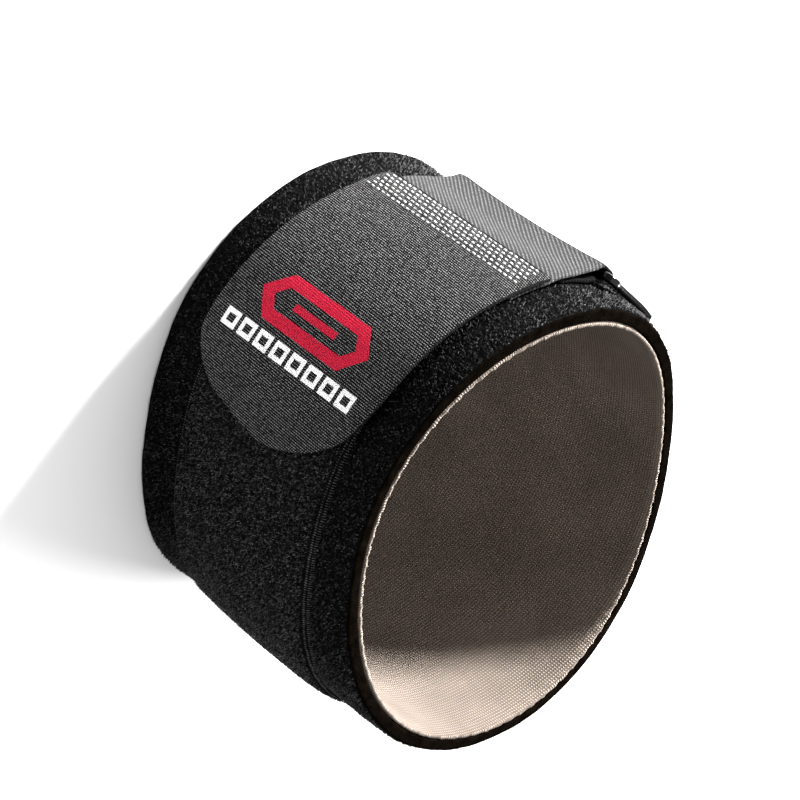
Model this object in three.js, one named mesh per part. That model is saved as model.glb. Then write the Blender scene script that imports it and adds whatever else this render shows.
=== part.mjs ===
// Tennis elbow strap: a padded band closed to a ring, with a hook tab that is drawn back
// through a buckle by a length of elastic webbing and pressed down on a panel of loop pile.
// Millimetres, +Z along the ring's axis. The elbow-side edge stands on z = 0.
// Angles go round the axis from the front (-Y) towards +X. "Along" is the distance that way on
// the band's outer face, from the front line. "Lift" is the distance out from that face.
import * as THREE from "three";

// Driving dimensions of the padded band
const bandLongWidth = 109.2;
const bandShortWidth = 95.5;
const bandHeight = 71.1;
const foamThickness = 2.8;
const liningThickness = 0.8;
const longAxisAngle = -47;
// The ring is fuller on one side of its oval, and a little flattened between its corners
const fullerSideDepth = 0.64;
const fullerSideAngle = -20.5;
const squareDepth = 0.36;
// The wrist-side edge leans and waves round the ring
const rimLean = 2.44;
const rimLeanAngle = 160;
const rimWave = 2.6;
const rimWaveAngle = 133;
const foamEdgeEase = 0.5;
// Close to its edges the band flares out at the sides, and it is drawn in beside the buckle
const elbowFlare = 1.2;
const wristTuck = 1.3;
const wristTuckAngle = -110;
const edgeReach = 11;
// The lining stops this far inside both edges of the foam
const liningInset = 0.35;

// Clearance between two layers that touch
const layerGap = 0.3;

// Loop panel, sewn round the outside of the band
const panelWidth = 44;
const panelThickness = 1.2;
const panelCrown = 0.95;
const panelMiddle = 34.6;
const panelSlant = 0.018;
const panelStart = -34.5;
const panelLength = 187;
// The free stretch of the panel bulges, from this far beyond the tip of the tab
const panelCrownDelay = 5;
const panelCrownRun = 25;

// Hook tab and its line across the band
const tabWidth = 49.4;
const tabLength = 65.3;
const tabThickness = 1.3;
const tabTipAlong = 17.3;
const strapMiddleAtFront = 34.6;
// The strap rises this many millimetres for each one towards the buckle
const strapSlant = 0.07;

// Elastic webbing, out over the strap bar and back beneath itself
const elasticThickness = 0.9;
const elasticWidth = 48;
const gatheredWidth = 44;
const elasticUnderTab = 9.5;
const rootLength = 8.5;
const rootLift = 0.35;
// The sewn root ends this far behind the root of the tab, with this much room above it
const rootBehindTab = 5.7;
const rootClearance = 0.7;
// The elastic leaves the band this far ahead of the buckle, and climbs the bar from its shoulder
const buckleApproach = 4.7;
const barShoulder = 1.5;
const barLanding = 0.15;
const turnSag = 0.35;
// The tab starts its step this far before the end of the elastic
const tabStepLead = 2;

// Buckle: a flat moulded frame that lies against the band with its two bars across the strap
const buckleAlong = -78.7;
const buckleFrontReach = 14.9;
const buckleBackReach = 6.7;
const buckleClearance = 0.3;
const railThickness = 2;
const railWidth = 2.8;
const strapBarWidth = 4.6;
const strapBarThickness = 1.4;
const keeperBarWidth = 4;
const keeperBarThickness = 1.2;
// The keeper bar lies this far out from the middle of the rails, to leave room beneath it
const keeperBarRise = 0.5;
const windowClearance = 0.6;
const buckleCornerRadius = 4.2;

// Keeper: a short webbing loop that holds the buckle's second bar to the band
const keeperWidth = 30;
const keeperThickness = 0.6;
const keeperReach = 18;
const keeperSewnLength = 8;
// It leaves the band this far before the buckle and climbs the bar from its shoulder
const keeperRise = 4;
const keeperRiseShare = 0.55;
const keeperReturn = 3;
const keeperShoulder = 0.5;
const keeperShoulderDrop = 0.35;

// Fineness of the curved faces
const bandSections = 96;
const panelSections = 48;
const tabSections = 20;
const webbingSections = 64;
const cornerSteps = 7;
const sideSteps = 10;
const rodSides = 12;
const outlineSteps = 1440;
const turnSteps = 6;
// Where a wall's middle row lies between its edge and the line where it leaves its form
const edgeRowShare = 0.4;
// The buckle's section: 1 is an oval, and smaller is squarer
const sectionPower = 0.6;

// Tip of the tab. "back" is the distance from the very tip, "low" and "high" are the edges
// from the middle line, all as shares of the tab's width. The tip is fuller at its lower corner.
const tabTip = [
  { back: 0.45, low: -0.5, high: 0.497 },
  { back: 0.35, low: -0.499, high: 0.485 },
  { back: 0.27, low: -0.492, high: 0.467 },
  { back: 0.21, low: -0.465, high: 0.441 },
  { back: 0.155, low: -0.42, high: 0.392 },
  { back: 0.105, low: -0.362, high: 0.335 },
  { back: 0.07, low: -0.3, high: 0.278 },
  { back: 0.045, low: -0.215, high: 0.23 },
  { back: 0.022, low: -0.12, high: 0.175 },
  { back: 0.006, low: -0.03, high: 0.12 },
  { back: 0, low: 0.01, high: 0.08 },
];

// Rows across the panel's outer face: its place from the low edge to the high edge, and how
// much of the crown it takes
const panelRows = [
  { across: 0, crown: 0 },
  { across: 0.12, crown: 0.2 },
  { across: 0.3, crown: 0.7 },
  { across: 0.5, crown: 1 },
  { across: 0.8, crown: 1 },
  { across: 0.94, crown: 0.6 },
  { across: 1, crown: 0 },
];
const flatRows = [
  { across: 0, crown: 0 },
  { across: 1, crown: 0 },
];

// The elastic's upper run from its end beneath the tab. "under" is a share of its length under
// the tab, "free" of its free length up to the buckle, "rise" of the way up to its place over
// its own root, and "width" of its full width.
const tabRootRise = 0.485;
const elasticRun = [
  { under: 0, free: 0, rise: 0, width: 1 },
  { under: 0.47, free: 0, rise: 0.2, width: 1 },
  { under: 1, free: 0, rise: tabRootRise, width: 1 },
  { under: 1, free: 0.36, rise: 0.82, width: 0.98 },
  { under: 1, free: 0.77, rise: 1, width: 0.96 },
  { under: 1, free: 1, rise: 1.18, width: 0.94 },
];

// Worked-out sizes
const degree = Math.PI / 180;
const meanRadius = (bandLongWidth + bandShortWidth) / 4;
const ovalShare = (bandLongWidth - bandShortWidth) / (bandLongWidth + bandShortWidth);
const panelTop = layerGap + panelThickness;
const tabLift = panelTop + layerGap + tabThickness / 2;
const railLift = buckleClearance + railThickness / 2;

function mix(from, to, share) {
  return from + (to - from) * share;
}

function smoothShare(value) {
  const share = Math.min(1, Math.max(0, value));
  return share * share * (3 - 2 * share);
}

// Shape of the band round its axis

function outlineRadius(angle) {
  const oval = ovalShare * Math.cos(2 * (angle - longAxisAngle * degree));
  const fuller = fullerSideDepth * Math.cos(3 * (angle - fullerSideAngle * degree));
  return meanRadius * (1 + oval) + fuller + squareDepth * Math.cos(4 * angle);
}

function rimHeight(angle) {
  const lean = rimLean * Math.cos(angle - rimLeanAngle * degree);
  return bandHeight + lean + rimWave * Math.cos(2 * (angle - rimWaveAngle * degree));
}

// How far the band's walls stand out of line close to its two edges
function edgeLift(angle, height) {
  const low = Math.max(0, 1 - height / edgeReach);
  const high = Math.max(0, 1 - (rimHeight(angle) - height) / edgeReach);
  const tuck = Math.max(0, Math.cos(angle - wristTuckAngle * degree));
  return elbowFlare * (Math.sin(angle) ** 4) * low ** 2 - wristTuck * tuck ** 2 * high ** 2;
}

function outlinePoint(angle) {
  const radius = outlineRadius(angle);
  return new THREE.Vector2(radius * Math.sin(angle), -radius * Math.cos(angle));
}

// A place on the outer face: its point, the way along the face and the way out from it
function faceAt(angle) {
  const step = Math.PI / outlineSteps;
  const before = outlinePoint(angle - step);
  const after = outlinePoint(angle + step);
  const way = after.sub(before).normalize();
  return { point: outlinePoint(angle), way, out: new THREE.Vector2(way.y, -way.x) };
}

// The outer face is walked in small steps, half a turn and one step either way, so that a
// distance along it gives an angle
function walkOutline() {
  const stops = [{ angle: 0, along: 0 }];
  for (const turn of [1, -1]) {
    let along = 0;
    for (let i = 1; i <= outlineSteps + 1; i += 1) {
      const angle = (turn * i * Math.PI) / outlineSteps;
      const last = outlinePoint(angle - (turn * Math.PI) / outlineSteps);
      along += turn * outlinePoint(angle).distanceTo(last);
      stops.push({ angle, along });
    }
  }
  return stops.sort((a, b) => a.along - b.along);
}

const outlineWalk = walkOutline();
const perimeter = outlineWalk.at(-2).along - outlineWalk[1].along;

// A distance past the back of the band goes on round it
function angleAlong(along) {
  const turns = Math.round(along / perimeter);
  const rest = along - turns * perimeter;
  const next = outlineWalk.findIndex((stop) => stop.along >= rest);
  const high = outlineWalk[next];
  const low = outlineWalk[next - 1];
  const share = (rest - low.along) / (high.along - low.along);
  return mix(low.angle, high.angle, share) + turns * 2 * Math.PI;
}

// The plan point at a distance along the outer face and a lift out from it
function planAt(along, lift) {
  const face = faceAt(angleAlong(along));
  return face.point.clone().addScaledVector(face.out, lift);
}

function strapMiddle(along) {
  return strapMiddleAtFront - strapSlant * along;
}

// Solids

// Joins rings of points into one closed solid: round to the first ring again, or capped
function loft(rings, closed) {
  const size = rings[0].length;
  const corners = rings.flat().flatMap((point) => [point.x, point.y, point.z]);
  const faces = [];
  const spans = closed ? rings.length : rings.length - 1;
  for (let i = 0; i < spans; i += 1) {
    const here = i * size;
    const next = ((i + 1) % rings.length) * size;
    for (let j = 0; j < size; j += 1) {
      const k = (j + 1) % size;
      faces.push([here + j, here + k, next + k]);
      faces.push([here + j, next + k, next + j]);
    }
  }
  const last = (rings.length - 1) * size;
  for (let j = 1; j < size - 1 && !closed; j += 1) {
    faces.push([0, j + 1, j]);
    faces.push([last, last + j, last + j + 1]);
  }
  return facingOut(corners, faces);
}

// Turns the faces over where the solid would come out inside out
function facingOut(corners, faces) {
  const at = (index) => new THREE.Vector3().fromArray(corners, 3 * index);
  let volume = 0;
  for (const [a, b, c] of faces) {
    volume += at(a).dot(at(b).cross(at(c)));
  }
  const ordered = volume < 0 ? faces.map(([a, b, c]) => [a, c, b]) : faces;
  const geometry = new THREE.BufferGeometry();
  geometry.setAttribute("position", new THREE.Float32BufferAttribute(corners, 3));
  geometry.setIndex(ordered.flat());
  geometry.computeVertexNormals();
  return geometry;
}

// A hoop right round the axis. The profile gives lift and height for one angle.
function hoop(profile) {
  const rings = [];
  for (let i = 0; i < bandSections; i += 1) {
    const angle = (i * 2 * Math.PI) / bandSections;
    const face = faceAt(angle);
    const ring = profile(angle).map(({ lift, height }) => {
      const point = face.point.clone().addScaledVector(face.out, lift + edgeLift(angle, height));
      return new THREE.Vector3(point.x, point.y, height);
    });
    rings.push(ring);
  }
  return loft(rings, true);
}

// One wall of a hoop as a row of heights from its low edge to its high edge, closer together
// where the wall leaves its line
function wallHeights(low, high) {
  const lowLine = edgeReach;
  const highLine = high - edgeReach;
  return [low, mix(low, lowLine, edgeRowShare), lowLine, highLine, mix(high, highLine, edgeRowShare), high];
}

// A flat band through a row of stops. A stop gives the middle of the thickness in plan, the
// way out from it, the low and high edges, and the crown of its outer face.
function flatBand(stops, thickness, rows) {
  const rings = stops.map(({ point, out, low, high, crown = 0 }) => {
    const place = (lift, height) => {
      const spot = point.clone().addScaledVector(out, lift);
      return new THREE.Vector3(spot.x, spot.y, height);
    };
    const outer = rows.map((row) => {
      return place(thickness / 2 + crown * row.crown, mix(low, high, row.across));
    });
    return [...outer, place(-thickness / 2, high), place(-thickness / 2, low)];
  });
  return loft(rings, false);
}

// Webbing that turns back on itself, through stops of plan point, middle height and width
function webbing(stops, thickness) {
  const line = new THREE.CatmullRomCurve3(
    stops.map((stop) => new THREE.Vector3(stop.point.x, stop.point.y, stop.middle)),
    false,
    "centripetal",
  );
  const places = [];
  for (let i = 0; i <= webbingSections; i += 1) {
    const share = i / webbingSections;
    const before = Math.min(stops.length - 2, Math.floor(share * (stops.length - 1)));
    const rest = share * (stops.length - 1) - before;
    const width = mix(stops[before].width, stops[before + 1].width, rest);
    const spot = line.getPoint(share);
    const way = line.getTangent(share);
    places.push({
      point: new THREE.Vector2(spot.x, spot.y),
      out: new THREE.Vector2(way.y, -way.x).normalize(),
      low: spot.z - width / 2,
      high: spot.z + width / 2,
    });
  }
  return flatBand(places, thickness, flatRows);
}

// The buckle's own flat frame: u runs along the tangent at its middle, towards the tab
const buckleFace = faceAt(angleAlong(buckleAlong));

function bucklePlan(u, lift) {
  const spot = buckleFace.point.clone().addScaledVector(buckleFace.way, u);
  return spot.addScaledVector(buckleFace.out, lift);
}

const strapBar = {
  u: buckleFrontReach - strapBarWidth / 2,
  width: strapBarWidth,
  thickness: strapBarThickness,
  lift: railLift,
};
const keeperBar = {
  u: -buckleBackReach + keeperBarWidth / 2,
  width: keeperBarWidth,
  thickness: keeperBarThickness,
  lift: railLift + keeperBarRise,
};
const buckleCentre = (strapBar.u + keeperBar.u) / 2;
const buckleMiddle = strapMiddle(buckleAlong + strapBar.u);
const windowHalf = gatheredWidth / 2 + windowClearance;

// Half a turn round the window side of a bar, from its outer face to its inner face
function turnRound(bar, thickness, side) {
  const radius = bar.thickness / 2 + layerGap + thickness / 2;
  const centre = bar.u + side * (bar.width / 2 - bar.thickness / 2);
  const points = [];
  for (let i = 0; i <= turnSteps; i += 1) {
    const angle = (i * Math.PI) / turnSteps;
    const u = centre + side * radius * Math.sin(angle);
    points.push(bucklePlan(u, bar.lift + radius * Math.cos(angle)));
  }
  return points;
}

// Sub-parts

function neopreneBand() {
  const inner = -foamThickness;
  const ease = foamEdgeEase;
  return hoop((angle) => {
    const rim = rimHeight(angle);
    const heights = wallHeights(ease, rim - ease);
    return [
      { lift: inner + ease, height: 0 },
      { lift: -ease, height: 0 },
      ...heights.map((height) => ({ lift: 0, height })),
      { lift: -ease, height: rim },
      { lift: inner + ease, height: rim },
      ...heights.toReversed().map((height) => ({ lift: inner, height })),
    ];
  });
}

function innerLining() {
  const outer = -foamThickness - layerGap;
  const inner = outer - liningThickness;
  return hoop((angle) => {
    const heights = wallHeights(liningInset, rimHeight(angle) - liningInset);
    return [
      ...heights.map((height) => ({ lift: outer, height })),
      ...heights.toReversed().map((height) => ({ lift: inner, height })),
    ];
  });
}

function loopPanel() {
  const stops = [];
  for (let i = 0; i <= panelSections; i += 1) {
    const along = panelStart + (panelLength * i) / panelSections;
    const face = faceAt(angleAlong(along));
    const lift = layerGap + panelThickness / 2;
    const free = along - tabTipAlong - panelCrownDelay;
    stops.push({
      point: face.point.addScaledVector(face.out, lift),
      out: face.out,
      low: panelMiddle - panelSlant * along - panelWidth / 2,
      high: panelMiddle - panelSlant * along + panelWidth / 2,
      crown: panelCrown * smoothShare(free / panelCrownRun),
    });
  }
  return flatBand(stops, panelThickness, panelRows);
}

const tabRoot = tabTipAlong - tabLength;
const elasticEnd = tabRoot + elasticUnderTab;

// The lift of the elastic's middle, from where it lies flat to where it passes over its root
function elasticLift(rise) {
  const flat = layerGap + elasticThickness / 2;
  const overRoot = rootLift + elasticThickness + rootClearance + elasticThickness / 2;
  return mix(flat, overRoot, rise);
}

// The tab lies level on the panel and steps up over the end of the elastic
function tabLiftAt(along) {
  const overElastic = elasticLift(tabRootRise) + elasticThickness / 2 + layerGap + tabThickness / 2;
  const share = (elasticEnd + tabStepLead - along) / (elasticUnderTab + tabStepLead / 2);
  return mix(tabLift, overElastic, smoothShare(share));
}

function hookTab() {
  const stops = [];
  const place = (along, low, high) => {
    const face = faceAt(angleAlong(along));
    stops.push({
      point: face.point.addScaledVector(face.out, tabLiftAt(along)),
      out: face.out,
      low: strapMiddle(along) + low * tabWidth,
      high: strapMiddle(along) + high * tabWidth,
    });
  };
  const tipStart = tabTipAlong - tabTip[0].back * tabWidth;
  for (let i = 0; i < tabSections; i += 1) {
    place(mix(tabRoot, tipStart, i / tabSections), -0.5, 0.5);
  }
  for (const { back, low, high } of tabTip) {
    place(tabTipAlong - back * tabWidth, low, high);
  }
  return flatBand(stops, tabThickness, flatRows);
}

// The elastic starts under the tab, rides up to the buckle, turns round the strap bar and comes
// back beneath itself to the place where it is sewn down.
function elasticStrap() {
  const freeLength = tabRoot - buckleApproach - (buckleAlong + buckleFrontReach);
  const stops = elasticRun.map(({ under, free, rise, width }) => {
    const along = elasticEnd - under * elasticUnderTab - free * freeLength;
    const point = planAt(along, elasticLift(rise));
    return { point, middle: strapMiddle(along), width: width * elasticWidth };
  });
  const narrow = { middle: buckleMiddle, width: gatheredWidth };
  const over = strapBar.lift + strapBar.thickness / 2 + layerGap + elasticThickness / 2;
  stops.push({ point: bucklePlan(buckleFrontReach + barShoulder, over - barShoulder), ...narrow });
  stops.push({ point: bucklePlan(buckleFrontReach - barLanding, over - barLanding), ...narrow });
  for (const point of turnRound(strapBar, elasticThickness, -1)) {
    stops.push({ point, ...narrow });
  }
  const under = 2 * strapBar.lift - over;
  stops.push({ point: bucklePlan(strapBar.u + strapBar.width / 4, under - turnSag), ...narrow });
  for (const share of [1, 0.5, 0]) {
    const along = tabRoot - rootBehindTab - share * rootLength;
    stops.push({ point: planAt(along, rootLift + elasticThickness / 2), ...narrow });
  }
  return webbing(stops, elasticThickness);
}

// The frame's middle line is a rounded rectangle. Each place on it takes the section of a rail,
// or of a bar between the rails.
function buckle() {
  const railHalf = windowHalf + railWidth / 2;
  const radius = buckleCornerRadius - railWidth / 2;
  const corners = [
    { u: strapBar.u, z: railHalf, turn: 0 },
    { u: keeperBar.u, z: railHalf, turn: 1 },
    { u: keeperBar.u, z: -railHalf, turn: 2 },
    { u: strapBar.u, z: -railHalf, turn: 3 },
  ];
  const line = [];
  corners.forEach(({ u, z, turn }, index) => {
    const centreU = u - Math.sign(u - buckleCentre) * radius;
    const centreZ = z - Math.sign(z) * radius;
    const arc = [];
    for (let i = 0; i <= cornerSteps; i += 1) {
      const angle = ((turn + i / cornerSteps) * Math.PI) / 2;
      arc.push({ u: centreU + radius * Math.cos(angle), z: centreZ + radius * Math.sin(angle) });
    }
    const last = line.at(-1);
    if (index > 0) {
      line.push(...between(last, arc[0]));
    }
    line.push(...arc);
  });
  line.push(...between(line.at(-1), line[0]));
  return loft(line.map((spot, index) => frameSection(spot, line, index)), true);
}

// The places between two corners, without the corners themselves
function between(from, to) {
  const places = [];
  for (let i = 1; i < sideSteps; i += 1) {
    places.push({ u: mix(from.u, to.u, i / sideSteps), z: mix(from.z, to.z, i / sideSteps) });
  }
  return places;
}

// One rounded section of the buckle's frame, square to its middle line
function frameSection(spot, line, index) {
  const bar = spot.u > buckleCentre ? strapBar : keeperBar;
  const barShare = smoothShare((windowHalf - Math.abs(spot.z)) / (2 * railWidth));
  const halfWidth = mix(railWidth, bar.width, barShare) / 2;
  const halfThickness = mix(railThickness, bar.thickness, barShare) / 2;
  const lift = mix(railLift, bar.lift, barShare);
  const before = line[(index + line.length - 1) % line.length];
  const after = line[(index + 1) % line.length];
  const side = new THREE.Vector2(after.z - before.z, before.u - after.u).normalize();
  const ring = [];
  for (let i = 0; i < rodSides; i += 1) {
    const angle = ((i + 0.5) * 2 * Math.PI) / rodSides;
    const across = halfWidth * squared(Math.cos(angle));
    const plan = bucklePlan(spot.u + side.x * across, lift + halfThickness * squared(Math.sin(angle)));
    ring.push(new THREE.Vector3(plan.x, plan.y, buckleMiddle + spot.z + side.y * across));
  }
  return ring;
}

// Fills out a circle's sine or cosine towards a rounded square
function squared(value) {
  return Math.sign(value) * Math.abs(value) ** sectionPower;
}

function buckleKeeper() {
  const shape = { middle: buckleMiddle, width: keeperWidth };
  const sewnEnd = buckleAlong - buckleBackReach - keeperReach;
  const lower = layerGap + keeperThickness / 2;
  const upper = lower + keeperThickness + layerGap;
  const over = keeperBar.lift + keeperBar.thickness / 2 + layerGap + keeperThickness / 2;
  const under = 2 * keeperBar.lift - over;
  const points = [
    planAt(sewnEnd, upper),
    planAt(sewnEnd + keeperSewnLength, upper),
    planAt(sewnEnd + keeperReach - keeperRise, mix(upper, over, keeperRiseShare)),
    bucklePlan(-buckleBackReach - keeperShoulder, over - keeperShoulderDrop),
    ...turnRound(keeperBar, keeperThickness, 1),
    bucklePlan(keeperBar.u, under),
    planAt(sewnEnd + keeperReach - keeperReturn, lower),
    planAt(sewnEnd + keeperSewnLength, lower),
    planAt(sewnEnd, lower),
  ];
  return webbing(points.map((point) => ({ point, ...shape })), keeperThickness);
}

// Materials

const materials = {
  pile: new THREE.MeshStandardMaterial({ color: 0x17171a, roughness: 0.97 }),
  lining: new THREE.MeshStandardMaterial({ color: 0xc9b7a6, roughness: 0.9 }),
  loops: new THREE.MeshStandardMaterial({ color: 0x232326, roughness: 1 }),
  webbing: new THREE.MeshStandardMaterial({ color: 0x3b3b3d, roughness: 0.85 }),
  elastic: new THREE.MeshStandardMaterial({ color: 0x9b9b9d, roughness: 0.85 }),
  plastic: new THREE.MeshStandardMaterial({ color: 0x0b0b0c, roughness: 0.22 }),
  keeper: new THREE.MeshStandardMaterial({ color: 0x1c1c1e, roughness: 0.9 }),
};

// The whole strap

function named(name, geometry, material) {
  const mesh = new THREE.Mesh(geometry, material);
  mesh.name = name;
  return mesh;
}

const strap = new THREE.Group();
strap.add(
  named("neoprene_band", neopreneBand(), materials.pile),
  named("inner_lining", innerLining(), materials.lining),
  named("loop_panel", loopPanel(), materials.loops),
  named("hook_tab", hookTab(), materials.webbing),
  named("elastic_strap", elasticStrap(), materials.elastic),
  named("buckle", buckle(), materials.plastic),
  named("buckle_keeper", buckleKeeper(), materials.keeper),
);

// The origin is under the middle of the whole strap, on the plane that it stands on
const middle = new THREE.Box3().setFromObject(strap).getCenter(new THREE.Vector3());
strap.position.set(-middle.x, -middle.y, 0);

export default strap;
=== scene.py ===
import math

import bpy
import numpy as np
from mathutils import Matrix, Vector


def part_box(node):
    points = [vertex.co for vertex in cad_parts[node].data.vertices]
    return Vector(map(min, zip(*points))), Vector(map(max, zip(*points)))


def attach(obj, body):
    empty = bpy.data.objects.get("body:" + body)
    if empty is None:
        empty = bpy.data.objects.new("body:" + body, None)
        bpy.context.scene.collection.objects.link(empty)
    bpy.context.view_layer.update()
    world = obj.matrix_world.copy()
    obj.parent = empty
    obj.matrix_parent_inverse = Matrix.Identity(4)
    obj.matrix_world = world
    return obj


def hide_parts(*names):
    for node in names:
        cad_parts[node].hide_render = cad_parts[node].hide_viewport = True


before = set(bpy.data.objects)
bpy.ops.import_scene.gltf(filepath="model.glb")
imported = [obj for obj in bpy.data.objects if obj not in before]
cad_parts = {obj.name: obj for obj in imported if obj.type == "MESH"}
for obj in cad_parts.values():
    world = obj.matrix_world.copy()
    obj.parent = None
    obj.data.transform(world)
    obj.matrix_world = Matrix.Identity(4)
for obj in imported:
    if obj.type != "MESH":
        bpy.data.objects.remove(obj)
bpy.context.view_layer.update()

DEGREE = math.pi / 180
MILLIMETRE = 0.001

# Padded band
BAND_LONG, BAND_SHORT, BAND_HEIGHT = 109.2, 95.5, 71.1
FOAM, LINING = 2.8, 0.8
LONG_AXIS = -47 * DEGREE
FULLER_DEPTH, FULLER_ANGLE = 0.64, -20.5 * DEGREE
SQUARE_DEPTH = 0.36
RIM_LEAN, RIM_LEAN_ANGLE = 2.44, 160 * DEGREE
RIM_WAVE, RIM_WAVE_ANGLE = 2.6, 133 * DEGREE
ELBOW_FLARE, WRIST_TUCK, WRIST_TUCK_ANGLE, EDGE_REACH = 1.2, 1.3, -110 * DEGREE, 11
EDGE_EASE = 0.5
LINING_INSET = 0.35
GAP = 0.3
CAD_SECTIONS = 96
OUTLINE_STEPS = 1440

# Loop panel
PANEL_WIDTH, PANEL_THICKNESS, PANEL_CROWN = 44, 1.2, 0.95
PANEL_MIDDLE, PANEL_SLANT = 34.6, 0.018
PANEL_START, PANEL_LENGTH = -34.5, 187
PANEL_CROWN_DELAY, PANEL_CROWN_RUN = 5, 25

# Hook tab
TAB_WIDTH, TAB_LENGTH, TAB_THICKNESS = 49.4, 65.3, 1.3
TAB_TIP = 17.3
TAB_ROOT = TAB_TIP - TAB_LENGTH
STRAP_MIDDLE, STRAP_SLANT = 34.6, 0.07
TAB_STEP_LEAD = 2

# Elastic webbing
ELASTIC, ELASTIC_WIDTH, GATHERED_WIDTH = 0.9, 48, 44
UNDER_TAB, ROOT_LENGTH, ROOT_LIFT = 9.5, 8.5, 0.35
ROOT_BEHIND_TAB, ROOT_CLEARANCE = 5.7, 0.7
BUCKLE_APPROACH, BAR_SHOULDER, BAR_LANDING, TURN_SAG = 4.7, 1.5, 0.15, 0.35
ELASTIC_END = TAB_ROOT + UNDER_TAB

# Buckle and its keeper. Here the buckle reaches further back than the model's plain one, and
# its back bends in with the band.
BUCKLE_ALONG, FRONT_REACH, BACK_REACH = -78.7, 14.9, 10.3
BUCKLE_BEND = 0.01
BUCKLE_CLEARANCE, RAIL_THICKNESS, RAIL_WIDTH = 0.3, 2, 2.8
STRAP_BAR_WIDTH, STRAP_BAR_THICKNESS = 4.6, 1.4
KEEPER_BAR_WIDTH, KEEPER_BAR_THICKNESS, KEEPER_BAR_RISE = 4, 1.2, 0.5
WINDOW_CLEARANCE, CORNER_RADIUS = 0.6, 3.2
SECTION_POWER = 0.6
KEEPER_WIDTH, KEEPER, KEEPER_REACH, KEEPER_SEWN = 30, 0.6, 18, 8
KEEPER_RISE, KEEPER_RISE_SHARE, KEEPER_RETURN = 4, 0.55, 3
KEEPER_SHOULDER, KEEPER_SHOULDER_DROP = 0.5, 0.35
TURN_STEPS = 6

# Tip of the tab: distance back from the tip, and its two edges from the middle line, as shares
# of the tab's width
TIP_OUTLINE = np.array([
    (0.45, -0.5, 0.497),
    (0.35, -0.499, 0.485),
    (0.27, -0.492, 0.467),
    (0.21, -0.465, 0.441),
    (0.155, -0.42, 0.392),
    (0.105, -0.362, 0.335),
    (0.07, -0.3, 0.278),
    (0.045, -0.215, 0.23),
    (0.022, -0.12, 0.175),
    (0.006, -0.03, 0.12),
    (0, 0.01, 0.08),
])

# The elastic's upper run: shares of the length under the tab, of the free length, of the rise
# and of the full width
TAB_ROOT_RISE = 0.485
ELASTIC_RUN = (
    (0, 0, 0, 1),
    (0.47, 0, 0.2, 1),
    (1, 0, TAB_ROOT_RISE, 1),
    (1, 0.36, 0.82, 0.98),
    (1, 0.77, 1, 0.96),
    (1, 1, 1.18, 0.94),
)

# Across the panel's outer face: place from the low to the high edge, and share of the crown
PANEL_CROWN_ROWS = np.array([(0, 0), (0.12, 0.2), (0.3, 0.7), (0.5, 1), (0.8, 1), (0.94, 0.6), (1, 0)])

# Camera, in the arm's frame. It is turned about its own line of sight, as the photograph is.
CAMERA_PLACE = (-6.40576, -582.12322, 420.50020)
CAMERA_RIGHT = (-0.58925276, 0.4535279, 0.6686506)
CAMERA_DOWN = (0.80794875, 0.33076673, 0.48765991)
FOCAL_SHARE = 3182.8 / 800
SENSOR = 36

random = np.random.default_rng(11)


# Small sums

def mix(low, high, share):
    return low + (high - low) * share


def smooth_share(value):
    share = np.clip(value, 0, 1)
    return share * share * (3 - 2 * share)


def unit(vectors):
    return vectors / np.linalg.norm(vectors, axis=-1, keepdims=True)


# Shape of the band round the arm

def outline_point(angle):
    oval_share = (BAND_LONG - BAND_SHORT) / (BAND_LONG + BAND_SHORT)
    oval = oval_share * np.cos(2 * (angle - LONG_AXIS))
    radius = (BAND_LONG + BAND_SHORT) / 4 * (1 + oval)
    radius = radius + FULLER_DEPTH * np.cos(3 * (angle - FULLER_ANGLE))
    radius = radius + SQUARE_DEPTH * np.cos(4 * angle)
    return np.stack([radius * np.sin(angle), -radius * np.cos(angle)], axis=-1)


def rim_height(angle):
    lean = RIM_LEAN * np.cos(angle - RIM_LEAN_ANGLE)
    return BAND_HEIGHT + lean + RIM_WAVE * np.cos(2 * (angle - RIM_WAVE_ANGLE))


def edge_lift(angle, height):
    low = np.maximum(0, 1 - height / EDGE_REACH)
    high = np.maximum(0, 1 - (rim_height(angle) - height) / EDGE_REACH)
    tuck = np.maximum(0, np.cos(angle - WRIST_TUCK_ANGLE))
    return ELBOW_FLARE * np.sin(angle) ** 4 * low**2 - WRIST_TUCK * tuck**2 * high**2


def face_at(angle):
    """The plan point on the outer face, the way along it and the way out from it."""
    step = math.pi / OUTLINE_STEPS
    way = unit(outline_point(angle + step) - outline_point(angle - step))
    return outline_point(angle), way, np.stack([way[..., 1], -way[..., 0]], axis=-1)


def walk_outline():
    angles = np.linspace(-math.pi, math.pi, 2 * OUTLINE_STEPS + 1)
    steps = np.linalg.norm(np.diff(outline_point(angles), axis=0), axis=-1)
    alongs = np.concatenate([[0], np.cumsum(steps)])
    return angles, alongs - alongs[OUTLINE_STEPS]


WALK_ANGLES, WALK_ALONGS = walk_outline()
PERIMETER = WALK_ALONGS[-1] - WALK_ALONGS[0]


def angle_along(along):
    return np.interp(along, WALK_ALONGS, WALK_ANGLES)


def strap_middle(along):
    return STRAP_MIDDLE - STRAP_SLANT * along


def panel_middle(along):
    return PANEL_MIDDLE - PANEL_SLANT * along


def panel_cover(along):
    """1 where the loop panel lies on the band, and 0 well beyond its ends."""
    ends = smooth_share((along - PANEL_START + 14) / 8)
    return ends * smooth_share((PANEL_START + PANEL_LENGTH + 4 - along) / 8)


def cover_edges(along):
    """The low and high edge of whatever is laid on the band."""
    on_tab = smooth_share((TAB_TIP - 4 - along) / 8)
    half = mix(PANEL_WIDTH, TAB_WIDTH, on_tab) / 2
    middle = mix(panel_middle(along), strap_middle(along), on_tab)
    return middle - half, middle + half


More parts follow.
